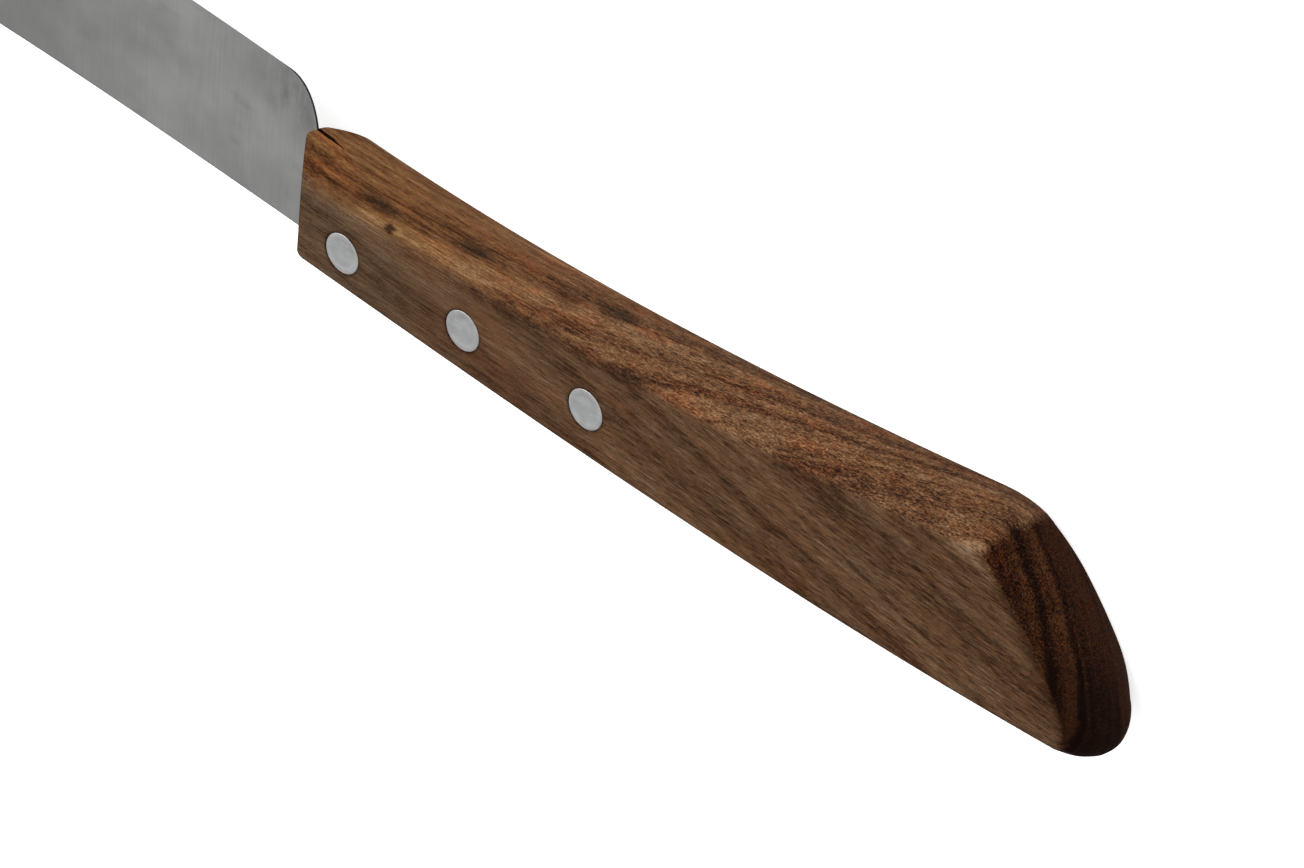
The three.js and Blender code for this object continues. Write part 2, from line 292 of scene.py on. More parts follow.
def handle_grids():
    """The handle as rings along it, which lean from the nose to the slanted butt, and its two end faces.
    The last rings round the butt's edge by a quarter of an ellipse, as deep as its round and as long as
    its reach, which is longest at the far upper corner. Each ring's x depends on its own height, so it
    is found by repeating the two sums until they agree."""
    turn = np.linspace(0, np.pi / 2, EDGE_STEPS)
    body = np.linspace(0, 1, BODY_STEPS)[1:-1]
    nose_turn = np.concatenate([turn[::-1], 0 * body, 0 * turn])[:, None]
    butt_turn = np.concatenate([0 * turn, 0 * body, turn])[:, None]
    share = np.concatenate([0 * turn, body, 0 * turn + 1])[:, None]

    to_ridge = np.where(section_part == BELLY, section_t, 1)
    over_ridge = np.where(section_part == BELLY, 0, np.where(section_part == RIDGE, section_t, 1))
    over_lower = np.where(section_part < LOWER, 0, np.where(section_part == LOWER, section_t, 1))
    on_belly = np.where(section_part < SIDE, 1, np.where(section_part == SIDE, 1 - section_t, 0))
    in_nose = NOSE_ROUND * (1 - np.cos(nose_turn))
    in_butt = 1 - np.cos(butt_turn)

    near_round, middle_round, far_round = BUTT_BELLY_ROUND
    near_tip, far_tip = BUTT_TIP_FROM
    halves = []
    for side, ridge_round, ridge_reach, tip_from in (
        (1, near_round, near_round, near_tip),
        (-1, far_round, BUTT_FAR_REACH, far_tip),
    ):
        belly_round = lerp(middle_round, ridge_round, to_ridge)
        belly_reach = lerp(middle_round, ridge_reach, to_ridge)
        to_top = np.clip(1 - section_t / BUTT_RIDGE_TO, 0, 1) ** 2
        top = np.where(section_part == SIDE, to_top, section_part < SIDE)
        to_tip = np.clip((section_t - tip_from) / (1 - tip_from), 0, 1) ** 2
        tip = np.where(section_part == SIDE, to_tip, section_part > SIDE)
        side_round = lerp(lerp(BUTT_SIDE_ROUND, ridge_round, top), BUTT_SPINE_ROUND, tip)
        side_reach = lerp(lerp(BUTT_SIDE_ROUND, ridge_reach, top), BUTT_SPINE_ROUND, tip)
        edge_reach = lerp(lerp(belly_reach, side_reach, over_ridge), BUTT_SPINE_ROUND, over_lower)
        insets = [in_nose + depth * in_butt for depth in (side_round, belly_round, BUTT_SPINE_ROUND)]
        x = lerp(-NOSE_LENGTH, HANDLE_LENGTH, share) + 0 * section_t
        for _ in range(FITTING_ROUNDS):
            y, z = half_section(x, *insets)
            y = y + on_belly * nose_rise(x, side * z)
            nose = nose_face(y, z) + NOSE_ROUND * (1 - np.sin(nose_turn))
            butt = butt_face(y, side * z) - edge_reach * (1 - np.sin(butt_turn))
            x = lerp(nose, butt, share)
        halves.append((x, y, side * z))
    ring = [np.concatenate([near, far[:, -2:0:-1]], axis=1) for near, far in zip(*halves)]
    grids = [(placed(*ring).reshape(-1, 3), grid_faces(*ring[0].shape, wrap=True))]

    across = np.linspace(0, 1, CAP_STEPS)
    for row, face in ((0, nose_face), (-1, butt_face)):
        rims = [(far[row][:, None], near[row][:, None]) for near, far in zip(*halves)]
        _, cap_y, cap_z = [lerp(far_rim, near_rim, across) for far_rim, near_rim in rims]
        cap = placed(face(cap_y, cap_z), cap_y, cap_z)
        grids.append((cap.reshape(-1, 3), grid_faces(*cap_y.shape)))
    return grids


def prism(outline, half_width):
    """A closed tool from an outline in x and y, drawn out to both sides of the blade's plane by one half
    width, or by one for each point."""
    x, y = np.array(outline).T
    points = np.concatenate([placed(x, y, -half_width), placed(x, y, half_width)])
    count = len(x)
    near = np.arange(count)
    following = np.roll(near, -1)
    walls = np.stack([near, following, following + count, near + count], axis=-1)
    mesh = bpy.data.meshes.new("tool")
    mesh.from_pydata(points.tolist(), [], walls.tolist() + [near[::-1].tolist(), (near + count).tolist()])
    return piece_of("tool", mesh)


def slot_tools():
    """The saw cut for the tang: open along the spine and the nose, and up through the belly at the heel,
    where it runs out to a point."""
    below = [(-CUT_REACH, -CUT_REACH), (SLOT_END_X, -CUT_REACH)]
    along = [(SLOT_END_X, SLOT_FLOOR), (SLOT_MOUTH_X, SLOT_FLOOR)]
    through = [(SLOT_MOUTH_X, CUT_REACH), (-CUT_REACH, CUT_REACH)]
    low = SLOT_FLOOR - SLOT_POINT_LAP
    point = [(SLOT_MOUTH_X, low), (SLOT_POINT_X, low), (SLOT_POINT_X, CUT_REACH), (SLOT_MOUTH_X, CUT_REACH)]
    point_widths = np.array([1, SLOT_POINT_SHARE, SLOT_POINT_SHARE, 1]) * SLOT_HALF_WIDTH
    return [prism(below + along + through, SLOT_HALF_WIDTH), prism(point, point_widths)]


def drill_tool(x, radius):
    """A round tool through the knife at x on the line of rivets."""
    angle = np.arange(HOLE_SIDES) * 2 * np.pi / HOLE_SIDES
    outline = np.stack([x + radius * np.cos(angle), radius * np.sin(angle)], axis=-1)
    return prism(outline, CUT_REACH)


def vectors(items, name):
    """A vector that each point or face of a mesh has, one row each."""
    values = np.empty(len(items) * 3, np.float32)
    items.foreach_get(name, values)
    return values.reshape(-1, 3)


def store(mesh, name, domain, values):
    """Gives each point or face of a mesh a number, which its material reads by name."""
    numbers = mesh.attributes.new(name, "FLOAT", domain)
    numbers.data.foreach_set("value", values.astype(np.float32))


rivet_xs = FIRST_RIVET_X + RIVET_PITCH * np.arange(3)
handle = piece_of("walnut_handle", mesh_of("walnut_handle", handle_grids()))
cut(handle, *slot_tools(), *[drill_tool(rivet_x, HOLE_RADIUS) for rivet_x in rivet_xs])

# How far each point faces out along the fibres, as the two ends do, or across, as belly and spine do.
# The ends count as facing out more on their far side, and the rivet holes count as sides.
handle_places = vectors(handle.data.vertices, "co")
handle_normals = vectors(handle.data.vertex_normals, "vector")
along, _, side_at = ((handle_places - shoulder) / MM).T
outward = np.where(along > HANDLE_LENGTH / 2, 1, -1) * handle_normals[:, 0]
facing = np.abs(handle_normals)
facing[:, 0] = outward + FAR_END_LEAN * smoothstep(0, -HALF_THICKNESS, side_at)
from_rivets = [(handle_places - placed(rivet_x, 0, 0))[:, :2] / MM for rivet_x in rivet_xs]
in_hole = np.linalg.norm(from_rivets, axis=-1).min(axis=0) < HOLE_RADIUS + HOLE_MARGIN
facing[in_hole] = (0, 0, 1)
store(handle.data, "end_grain", "POINT", smoothstep(*END_FACING, facing[:, 0]))
store(handle.data, "belly_grain", "POINT", smoothstep(*BELLY_FACING, facing[:, 1]))

# The two walls of the saw cut, which face each other across the handle's middle. They are painted black, as
# painted shade inside the slot.
face_places = (vectors(handle.data.polygons, "center") - shoulder) / MM
face_normals = vectors(handle.data.polygon_normals, "vector")
slot_shade_faces = np.abs(face_places[:, 2]) < SLOT_HALF_WIDTH * SAWN_SPREAD
slot_shade_faces &= face_places[:, 0] < SLOT_END_X + SAWN_PAST_END
slot_shade_faces &= np.abs(face_normals[:, 2]) > SAWN_FACING
store(handle.data, "sawn", "FACE", slot_shade_faces)


class Field:
    """A value that changes over a surface: one socket of a node tree, on which sums can be written."""

    def __init__(self, tree, socket=None):
        self.tree = tree
        self.socket = socket

    def node(self, kind, settings=None, sockets=None, output=0):
        """Adds a node: its settings first, then the numbers, colours or fields of its sockets."""
        made = self.tree.nodes.new(kind)
        for key, setting in (settings or {}).items():
            if key == "stops":
                ramp = made.color_ramp.elements
                while len(ramp) < len(setting):
                    ramp.new(1)
                for element, (position, colour) in zip(ramp, setting):
                    element.position = position
                    element.color = (*colour, 1)
            else:
                setattr(made, key, setting)
        for key, given in (sockets or {}).items():
            if isinstance(given, Field):
                self.tree.links.new(given.socket, made.inputs[key])
            else:
                made.inputs[key].default_value = given
        return Field(self.tree, made.outputs[output])

    def math(self, operation, *others):
        """A Math node on this value and others."""
        values = dict(enumerate((self, *others)))
        return self.node("ShaderNodeMath", {"operation": operation}, values)

    def vector(self, operation, *others, output=0):
        """A Vector Math node on this point and others."""
        points = dict(enumerate((self, *others)))
        return self.node("ShaderNodeVectorMath", {"operation": operation}, points, output)

    def __add__(self, other):
        return self.math("ADD", other)

    def __sub__(self, other):
        return self.math("SUBTRACT", other)

    def __mul__(self, other):
        return self.math("MULTIPLY", other)

    def __truediv__(self, other):
        return self.math("DIVIDE", other)

    def __pow__(self, other):
        return self.math("POWER", other)

    def __rsub__(self, other):
        return self.node("ShaderNodeMath", {"operation": "SUBTRACT"}, {0: other, 1: self})

    __radd__ = __add__
    __rmul__ = __mul__

    def ramp(self, low, high):
        """A smooth step of this value from 0 at low to 1 at high."""
        settings = {"interpolation_type": "SMOOTHSTEP"}
        return self.node("ShaderNodeMapRange", settings, {"Value": self, "From Min": low, "From Max": high})

    def tint(self, *stops):
        """Colours along this value, as pairs of a position and a colour."""
        return self.node("ShaderNodeValToRGB", {"stops": stops}, {"Fac": self})

    def mix(self, a, b, how="MIX"):
        """Colour a where this value is 0 and colour b, laid on it as how says, where it is 1."""
        settings = {"data_type": "RGBA", "blend_type": how}
        a, b = (c if isinstance(c, Field) else (*c, 1) for c in (a, b))
        return self.node("ShaderNodeMix", settings, {0: self, 6: a, 7: b}, output=2)


def knife_axes(material):
    """Fields of a material that hold a place on the knife in millimetres from the shoulder: the point as a
    whole, then its x, y and z."""
    place = Field(material.node_tree).node("ShaderNodeTexCoord", output="Object")
    moved = place.vector("SUBTRACT", shoulder)
    scaled = moved.node("ShaderNodeVectorMath", {"operation": "SCALE"}, {0: moved, "Scale": 1 / MM})
    parts = [scaled.node("ShaderNodeSeparateXYZ", sockets={0: scaled}, output=i) for i in range(3)]
    return scaled, *parts


def drawn_noise(point, frequency, detail=2.0, rough=0.5):
    """Noise on a point whose axes are first multiplied by their own frequencies, so that it draws out in
    lines where these differ."""
    stretched = point.vector("MULTIPLY", frequency)
    sockets = {"Vector": stretched, "Scale": 1.0, "Detail": detail, "Roughness": rough}
    return point.node("ShaderNodeTexNoise", {"noise_dimensions": "3D"}, sockets)


def new_material(name):
    """A new node material and its surface shader."""
    material = bpy.data.materials.new(name)
    material.use_nodes = True
    return material, material.node_tree.nodes["Principled BSDF"]


def connect(shader, **fields):
    """Links fields to the sockets of a shader, whose names are written with underscores."""
    for name, field in fields.items():
        field.tree.links.new(field.socket, shader.inputs[name.replace("_", " ")])


def stored(point, name):
    """The number that a mesh holds under a name at each point or face."""
    return point.node("ShaderNodeAttribute", {"attribute_name": name}, output="Fac")


def spot(point, centre, reach):
    """A soft spot on the point's axes: 1 at its centre, and 0 at its reach along each axis."""
    share = point.vector("SUBTRACT", centre).vector("DIVIDE", reach)
    return share.vector("LENGTH", output="Value").ramp(1.0, 0.0)


def bump(height, strength, distance):
    """A bump in the surface by a field, with its distance in millimetres."""
    sockets = {"Strength": strength, "Distance": distance * MM, "Height": height}
    return height.node("ShaderNodeBump", None, sockets)


WALNUT_BLACK = (0.016, 0.006, 0.002)
WALNUT_DARK = (0.046, 0.020, 0.008)
WALNUT_BROWN = (0.084, 0.041, 0.020)
WALNUT_WARM = (0.114, 0.060, 0.029)
WALNUT_PALE = (0.210, 0.136, 0.082)
SMOKE_TONE = (0.34, 0.40, 0.48)
BELLY_TONE = (0.97, 0.85, 0.72)
BELLY_FRONT_PAINTED_LIGHT = (1.12, 1.07, 0.87)
END_GRAIN_TONE = (0.315, 0.195, 0.10)
PORE_TONE = (0.22, 0.17, 0.14)
RED_TONE = (1.14, 0.92, 0.80)
GREY_TONE = (0.95, 1.01, 1.08)
SIDE_FRONT_TONE = (0.97, 1.11, 1.27)
BELLY_FRONT = (40.0, 5.0)
SIDE_FRONT = (28.0, 5.0)
GRAIN_TURN_AT = 40.0
GRAIN_TURN_BLEND = 15.0
FIBRE_TURN = (0.06, 0.07)
GROWTH_SLANT = (0.097, 0.5, 0.045)
PORE_FREQUENCY = (0.4, 4.4, 4.4)
FINGER_LENGTH = 2.2
RIVET_RING = (2.85, 2.45)
SIDE_FROM = (4.5, 5.5)
# Each row of the layers, rings and marks below is a place, a reach and a strength or shift of tone.
# Layers and rings are placed by their depth in the growth of the tree, and marks by x, y and z.
GROWTH_LAYERS = (
    (2.1, 1.7, 0.10),
    (7.1, 1.7, -0.15),
    (9.5, 1.4, 0.10),
    (11.8, 1.3, -0.07),
    (13.5, 0.7, -0.09),
    (14.1, 0.4, -0.14),
    (14.9, 0.6, 0.05),
    (16.1, 0.35, -0.16),
    (16.3, 1.1, 0.11),
    (18.6, 1.3, -0.12),
    (19.5, 0.4, -0.10),
    (21.0, 0.7, -0.07),
    (22.1, 0.3, -0.14),
    (24.0, 1.8, 0.30),
)
KNOT_AT = (12.1, 6.0, 4.7)
KNOT_REACH = (1.5, 0.95, 0.95)
SWIRL_REACH = (5.0, 1.8, 1.8)
SMOKE_MARKS = (
    ((9.2, 6.75, 3.2), (4.2, 1.6, 1.3), 1.2),
    ((21.7, 7.1, 1.7), (3.8, 1.5, 1.2), 1.3),
    ((33.6, 7.6, 0.9), (4.0, 1.5, 1.4), 0.8),
    ((40.2, 8.0, -0.8), (4.0, 1.5, 1.6), 0.9),
)
TONE_MARKS = (
    ((12.4, 5.9, 4.6), (4.0, 1.4, 1.4), 0.06),
    ((24.0, 6.3, 4.5), (14.0, 1.4, 1.1), 0.03),
    ((92.5, 12.9, 4.6), (8.0, 2.6, 3.2), 0.08),
)
RIVET_RING_TONE = (0.42, 0.38, 0.35)
RING_SLANT = 0.4
END_RINGS = ((7.4, 0.9, 0.06), (6.3, 0.8, -0.2), (4.3, 1.2, 0.17), (3.1, 0.7, -0.15), (1.7, 0.6, -0.06))

walnut, walnut_shader = new_material("oiled_walnut")
point, x, y, z = knife_axes(walnut)
end = stored(point, "end_grain")
belly = stored(point, "belly_grain")

# The fibres run along the handle and turn gently aside past the grip. The growth layers are planes that
# slant across it, bent a little and drawn aside by the knot.
past_turn = x - GRAIN_TURN_AT
turned = 0.5 * (past_turn + (past_turn * past_turn + GRAIN_TURN_BLEND**2) ** 0.5)
fibre_y, fibre_z = [axis + turn * turned for axis, turn in zip((y, z), FIBRE_TURN)]
grain_point = point.node("ShaderNodeCombineXYZ", sockets={"X": x, "Y": fibre_y, "Z": fibre_z})
slow_bend = drawn_noise(point, (0.02, 0.08, 0.08), detail=1.0)
quick_bend = drawn_noise(point, (0.07, 0.3, 0.3), detail=1.0)
swirl = spot(point, KNOT_AT, SWIRL_REACH)
slanted = sum((slant * axis for slant, axis in zip(GROWTH_SLANT, (x, y, turned))), z)
growth = slanted + 0.6 * (quick_bend - 0.5) + 0.4 * swirl
wavy_growth = growth + 1.4 * slow_bend
layer_point = point.node("ShaderNodeCombineXYZ", sockets={"X": 0.006 * x, "Y": wavy_growth, "Z": 0.02 * y})
zones = drawn_noise(layer_point, (1.0, 0.3, 1.0), detail=1.0)
bands = drawn_noise(layer_point, (1.6, 1.0, 1.0), detail=3.0, rough=0.6)
fibres = drawn_noise(grain_point, (0.1, 2.4, 2.4), detail=3.0, rough=0.6)
threads = drawn_noise(grain_point, (0.3, 7.0, 7.0), detail=2.0, rough=0.6)
speckle = drawn_noise(grain_point, (1.1, 4.0, 4.0), detail=2.0, rough=0.7)
fine = drawn_noise(grain_point, (3.0, 7.5, 7.5), detail=1.0)
mottle = drawn_noise(grain_point, (0.4, 0.8, 0.8), detail=2.0)
patches = drawn_noise(point, (0.035, 0.25, 0.25), detail=1.0).ramp(0.35, 0.65)

# The tone is bands and zones along the layers, grain of several sizes, the layers and a few marks.
soft_foot = end * (1 - y.ramp(-2.0, 9.0) * z.ramp(-4.0, 2.0))
rough_end = 0.3 + (0.05 + 0.6 * belly) * x.ramp(5.0, 70.0) + 0.8 * end
contrast = 0.28 + belly * (0.15 + 0.25 * patches)
lines = 1.1 * bands + 0.45 * zones - 0.775
broad_grain = 0.5 * (fibres - 0.5) + 0.25 * (mottle - 0.5)
thread_grain = (0.85 - 0.2 * belly) * (threads - 0.5) + (0.2 + 0.2 * belly) * (speckle - 0.5)
grain_show = 0.6 + 0.25 * belly + 0.15 * x.ramp(10.0, 60.0) + 0.2 * end
grain = grain_show * (broad_grain + thread_grain) + 0.9 * rough_end * (fine - 0.5)
plain_tone = 0.5 - 0.05 * end - 0.03 * belly * x.ramp(60.0, 90.0)
tone = plain_tone + contrast * lines + (1 - 0.6 * soft_foot) * grain
layer_strength = 0.6 + 0.2 * belly * x.ramp(90.0, 55.0) + 0.3 * (1 - belly) * x.ramp(45.0, 70.0)
layer_show = layer_strength * (1 - end) * (0.5 + 0.5 * x.ramp(0.0, 25.0))
for layer_at, layer_reach, shift in GROWTH_LAYERS:
    tone = tone + shift * layer_show * (growth - layer_at).math("ABSOLUTE").ramp(layer_reach, 0.0)
for mark_at, mark_reach, shift in TONE_MARKS:
    tone = tone + shift * spot(point, mark_at, mark_reach)

# A dark streak follows the near ridge on the grip. On the butt, rings show, its near foot is darker and
# its far edge is paler, a painted sheen where the butt turns away.
from_ridge = (y - side_edge(x, UPPER_EDGE) + 0.15).math("ABSOLUTE")
ridge_streak = from_ridge.ramp(1.0, 0.1) * z.ramp(4.0, 5.4) * x.ramp(9.0, 18.0) * x.ramp(60.0, 44.0)
tone = tone - 0.19 * ridge_streak * fibres.ramp(0.2, 0.7)
ring_depth = z + RING_SLANT * y + 0.9 * quick_bend - 0.45
for ring_at, ring_reach, shift in END_RINGS:
    tone = tone + shift * end * (ring_depth - ring_at).math("ABSOLUTE").ramp(ring_reach, 0.0)
near_foot = end * y.ramp(7.0, -1.0) * z.ramp(-4.0, 1.5)
far_edge_sheen = end * z.ramp(0.5, -4.0) * y.ramp(-3.0, 3.0)
tone = tone - 0.16 * near_foot + 0.07 * far_edge_sheen
wood = tone.tint(
    (0.20, WALNUT_BLACK),
    (0.36, WALNUT_DARK),
    (0.47, WALNUT_BROWN),
    (0.60, WALNUT_WARM),
    (0.82, WALNUT_PALE),
)

# Pores are short dark dashes, most of them in the darker bands, and dark threads along the sides.
pore_point = grain_point.vector("MULTIPLY", PORE_FREQUENCY)
pore_cell = point.node("ShaderNodeTexVoronoi", {"feature": "F1"}, {"Vector": pore_point, "Scale": 1.0})
open_pores = pore_cell.ramp(0.38, 0.25) * (0.5 + 0.5 * bands.ramp(0.62, 0.4))
pore_show = (0.6 + 0.4 * belly) * (0.55 + 0.45 * x.ramp(20.0, 60.0))
side_lines = threads.ramp(0.43, 0.33) * (1 - belly) * (1 - end) * x.ramp(15.0, 60.0)
pores = (open_pores * pore_show).math("MAXIMUM", 0.6 * side_lines)
wood = pores.mix(wood, PORE_TONE, "MULTIPLY")

# Smoky marks and a small black knot, then tints by region and a dark ring round each rivet.
ragged = 0.3 + 1.4 * fibres.ramp(0.3, 0.7)
for mark_at, mark_reach, strength in SMOKE_MARKS:
    mark = spot(point, mark_at, mark_reach) * ragged * strength
    wood = mark.math("MINIMUM", 1.0).mix(wood, SMOKE_TONE, "MULTIPLY")
knot = spot(point, KNOT_AT, KNOT_REACH) + 1.2 * (speckle - 0.5) + 0.9 * (fine - 0.5)
wood = (0.92 * knot.ramp(0.25, 0.75)).mix(wood, WALNUT_BLACK)
blush = drawn_noise(grain_point, (0.12, 0.6, 0.6), detail=3.0)
wood = (blush.ramp(0.5, 0.68) * (0.5 + 0.5 * belly)).mix(wood, RED_TONE, "MULTIPLY")
wood = blush.ramp(0.5, 0.32).mix(wood, GREY_TONE, "MULTIPLY")
wood = belly.mix(wood, BELLY_TONE, "MULTIPLY")
# Towards the nose the belly is tinted warmer and lighter: painted light.
wood = (belly * x.ramp(*BELLY_FRONT)).mix(wood, BELLY_FRONT_PAINTED_LIGHT, "MULTIPLY")
wood = ((1 - belly) * x.ramp(*SIDE_FRONT)).mix(wood, SIDE_FRONT_TONE, "MULTIPLY")
for rivet_x in rivet_xs:
    from_rivet = ((x - rivet_x) ** 2 + y * y) ** 0.5
    rivet_ring = 0.75 * from_rivet.ramp(*RIVET_RING) * z.ramp(*SIDE_FROM)
    wood = rivet_ring.mix(wood, RIVET_RING_TONE, "MULTIPLY")

# End grain soaks up oil and is dark, and dark fingers of it reach along the fibres from the butt's edge.
from_butt = butt_line(y) - BUTT_DOME + BUTT_SKEW * z - x
finger_length = FINGER_LENGTH * (0.5 * fibres + 0.5 * threads).ramp(0.42, 0.66)
fingers = (from_butt - finger_length).ramp(0.7, -0.3) * (1 - belly)
end_shade = (end * (0.45 + 0.55 * x.ramp(5.0, 60.0))).math("MAXIMUM", 0.85 * fingers)
wood = end_shade.mix(wood, END_GRAIN_TONE, "MULTIPLY")
# The walls of the saw cut are painted black: painted shade inside the slot.
wood = stored(point, "sawn").mix(wood, WALNUT_BLACK)

walnut_bump = bump(0.5 * threads - pores, strength=0.4, distance=0.05)
connect(walnut_shader, Base_Color=wood, Roughness=0.56 + 0.2 * threads, Normal=walnut_bump)
walnut_shader.inputs["Specular IOR Level"].default_value = 0.05

handle.data.materials.clear()
handle.data.materials.append(walnut)
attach(handle, "root")
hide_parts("handle")


# Blade
# A thin steel blade and its half tang, cut out in one, ground to a wedge from spine to edge with
# marks that run across it. The tang is slid into the handle's slot from the spine.

TIP_X = -120.55
HEEL_X = -3.25
HALF_STOCK = 0.24
HALF_EDGE = 0.09
BLADE_HEIGHT = 19.3
HEEL_LEAN = 0.75
HEEL_SWEEP = 5.0
EDGE_BULGE = 2.1
BULGE_FROM_HEEL = 39.0
SPINE_DROP_AT_TIP = 2.2
SPINE_RISES = (1.9, 3.4)
SPINE_ROUND = 0.12
WEDGE_TO_TANG = (-1.0, 3.0)
TIP_BELLY_LENGTH = 27.0
TIP_NOSE_LENGTH = 8.5
TANG_RISE = 4.2
TANG_END_X = 50.0
TANG_CORNER = 3.0
TANG_RECESS = 0.15
TANG_THROAT = 3.2
THROAT_SPINE_X = 2.0
TANG_HOLE_RADIUS = 2.5

TIP_EDGE_STEPS = 40
LONG_EDGE_STEPS = 60
HEEL_STEPS = 24
ARC_STEPS = 14
TANG_STEPS = 40
TIP_SPINE_STEPS = 24
LONG_SPINE_STEPS = 80
TANG_SPINE_STEPS = 60
ACROSS_STEPS = 40
FIRST_ACROSS = (0.004, 0.012)
LAST_ACROSS = 0.994


def cubic(a, b, c, d, count):
    """Points of a cubic Bezier curve without its last point."""
    t = np.arange(count)[:, None] / count
    a, b, c, d = map(np.array, (a, b, c, d))
    return a * (1 - t) ** 3 + 3 * b * t * (1 - t) ** 2 + 3 * c * t**2 * (1 - t) + d * t**3


def quadratic(a, b, c, count):
    """Points of a quadratic Bezier curve without its last point."""
    t = np.arange(count)[:, None] / count
    return bend(np.array(a), np.array(b), np.array(c), t)


def arc(centre, radius, start, stop, count):
    """Points of an arc between two angles in degrees, without its last point."""
    angle = np.radians(lerp(start, stop, np.arange(count) / count))
    return np.stack([centre[0] + radius * np.cos(angle), centre[1] + radius * np.sin(angle)], axis=-1)


def line(a, b, count):
    """Points of a straight line without its last point."""
    return lerp(np.array(a), np.array(b), np.arange(count)[:, None] / count)


def blade_grids():
    """Blade and tang as two faces over a grid: across it, straight lines join the spine's curve to the
    edge's curve; the half thickness falls from spine to edge on the blade, and is even on the tang."""
    spine_y = side_edge(0, LOWER_EDGE) - SPINE_CROWN
    heel_y = spine_y + BLADE_HEIGHT
    tip_y = spine_y - SPINE_DROP_AT_TIP
    belly_x = TIP_X + TIP_BELLY_LENGTH
    throat_y = TANG_RISE + TANG_THROAT
    nose = (TIP_X, tip_y + TIP_NOSE_LENGTH)
    tip_end = (belly_x, heel_y + EDGE_BULGE / 2)
    heel = (HEEL_X - HEEL_SWEEP, heel_y)
    corner = TANG_RISE - TANG_CORNER
    upper = np.concatenate(
        [
            cubic(nose, (TIP_X, heel_y - BLADE_HEIGHT / 2),
                  (belly_x - TIP_BELLY_LENGTH / 2, heel_y - EDGE_BULGE / 2), tip_end, TIP_EDGE_STEPS),
            cubic(tip_end, (belly_x + TIP_BELLY_LENGTH / 3, heel_y + EDGE_BULGE),
                  (HEEL_X - BULGE_FROM_HEEL, heel_y + EDGE_BULGE), heel, LONG_EDGE_STEPS),
            cubic(heel, (HEEL_X - HEEL_SWEEP / 2, heel_y),
                  (HEEL_X - HEEL_LEAN, lerp(throat_y, heel_y, 2 / 3)), (HEEL_X, throat_y), HEEL_STEPS),
            arc((HEEL_X + TANG_THROAT, throat_y), TANG_THROAT, 180, 270, ARC_STEPS),
            line((HEEL_X + TANG_THROAT, TANG_RISE), (TANG_END_X - TANG_CORNER, TANG_RISE), TANG_STEPS),
            arc((TANG_END_X - TANG_CORNER, corner), TANG_CORNER, 90, 0, ARC_STEPS),
            [(TANG_END_X, corner)],
        ]
    )
    count = len(upper)
    steps = np.append(0, np.cumsum(np.linalg.norm(np.diff(upper, axis=0), axis=1)))
    heel_step = steps[TIP_EDGE_STEPS + LONG_EDGE_STEPS]
    throat_step = steps[TIP_EDGE_STEPS + LONG_EDGE_STEPS + HEEL_STEPS + ARC_STEPS]
    tip_spine = quadratic(nose, (TIP_X, tip_y), (TIP_X + TIP_NOSE_LENGTH, tip_y), TIP_SPINE_STEPS)
    third = (TIP_X + TIP_NOSE_LENGTH) / 3
    long_spine = cubic(
        (TIP_X + TIP_NOSE_LENGTH, tip_y), (2 * third, spine_y + SPINE_RISES[1]),
        (third, spine_y + SPINE_RISES[0]), (0, spine_y + TANG_RECESS), LONG_SPINE_STEPS,
    )
    tang_x = np.linspace(0, TANG_END_X, TANG_SPINE_STEPS)
    tang_spine = np.stack([tang_x, side_edge(tang_x, LOWER_EDGE) - SPINE_CROWN + TANG_RECESS], axis=-1)
    spine = np.concatenate([tip_spine, long_spine, tang_spine])
    spine_steps = np.append(0, np.cumsum(np.linalg.norm(np.diff(spine, axis=0), axis=1)))
    past_tip = slice(TIP_SPINE_STEPS, None)
    stops = np.interp([heel[0], THROAT_SPINE_X], spine[past_tip, 0], spine_steps[past_tip])
    wanted = np.interp(steps, [0, heel_step, throat_step, steps[-1]], [0, *stops, spine_steps[-1]])
    lower = np.stack([np.interp(wanted, spine_steps, spine[:, i]) for i in range(2)], axis=-1)

    v = np.concatenate([[0, *FIRST_ACROSS], np.linspace(0, 1, ACROSS_STEPS)[1:-1], [LAST_ACROSS, 1]])
    face = lerp(lower[:, None], upper[:, None], v[None, :, None])
    x, y = face[..., 0], face[..., 1]
    wedge = lerp(HALF_STOCK, HALF_EDGE, np.clip((y - spine_y) / (BLADE_HEIGHT + EDGE_BULGE), 0, 1))
    stock = lerp(wedge, HALF_STOCK, smoothstep(*WEDGE_TO_TANG, x))
    from_spine = np.minimum(v * np.linalg.norm(upper - lower, axis=1)[:, None], SPINE_ROUND) / SPINE_ROUND
    half = stock - SPINE_ROUND * (1 - np.sqrt(1 - (1 - from_spine) ** 2))
    faces = grid_faces(count, len(v))
    grids = [(placed(x, y, side * half).reshape(-1, 3), faces) for side in (1, -1)]
    for rim in (0, -1):
        strip = np.stack([placed(x[:, rim], y[:, rim], side * half[:, rim]) for side in (1, 0, -1)], axis=1)
        grids.append((strip.reshape(-1, 3), grid_faces(count, 3)))
    tang_end = np.stack([placed(x[-1], y[-1], side * half[-1]) for side in (1, 0, -1)], axis=1)
    grids.append((tang_end.reshape(-1, 3), grid_faces(len(v), 3)))
    return grids


blade = piece_of("steel_blade", mesh_of("steel_blade", blade_grids()))
cut(blade, *[drill_tool(rivet_x, TANG_HOLE_RADIUS) for rivet_x in rivet_xs])

STEEL_TONE = (0.46, 0.46, 0.45)
STEEL_SHADE = (0.37, 0.37, 0.36)
STEEL_STAIN_AND_SHADE = (0.26, 0.255, 0.25)
RIM_DARK_REFLECTION = (0.07, 0.07, 0.07)
RIM_FACING = 0.5
RIM_FROM = (-9.5, -6.5)
FRONT_SHADE = (-20.0, -55.0)
HEEL_STAIN_AT = (-5.0, 11.0, 0.0)
HEEL_STAIN_REACH = (11.0, 7.0, 7.0)
